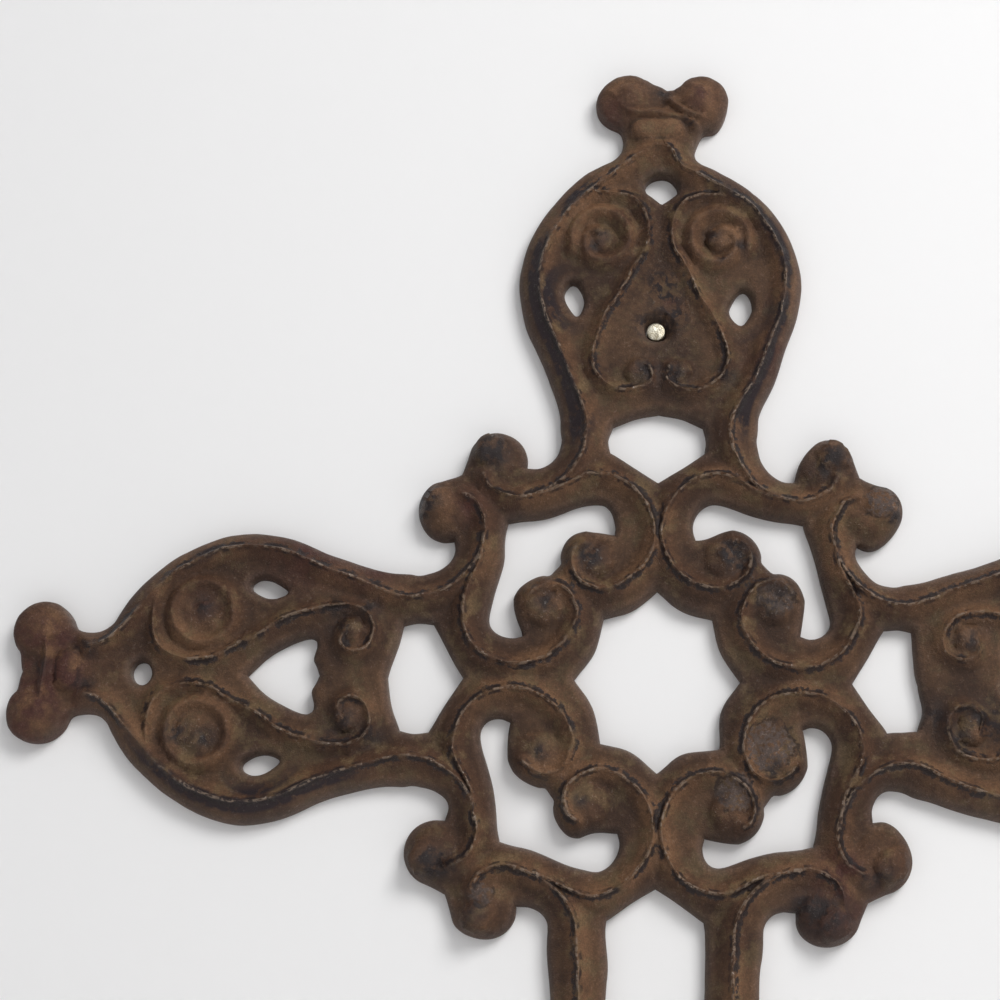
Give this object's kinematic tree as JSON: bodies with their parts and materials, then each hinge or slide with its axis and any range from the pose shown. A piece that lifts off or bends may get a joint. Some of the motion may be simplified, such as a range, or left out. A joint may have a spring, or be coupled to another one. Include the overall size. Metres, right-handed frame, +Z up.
{
  "type": "cast iron wall cross",
  "caption": "Openwork cross with scrolled arms, a long lower arm and forked finials, with a flat back that hangs against a wall.",
  "frame": {"origin": "on the flat back, on the upright's middle line, 6 mm above the hanging rivet's middle height", "axes": "+X to the viewer's right, +Y from the front into the wall, +Z up along the upright as it hangs"},
  "size_m": [0.2317, 0.006, 0.2926],
  "materials": {
    "cross_casting": "worn brown paint and light rust over sand-cast grain",
    "hanger_rivet": "bare, cut flat"
  },
  "bodies": {
    "root": {"cross_casting": "cross_casting", "hanger_rivet": "hanger_rivet"}
  },
  "joints": []
}
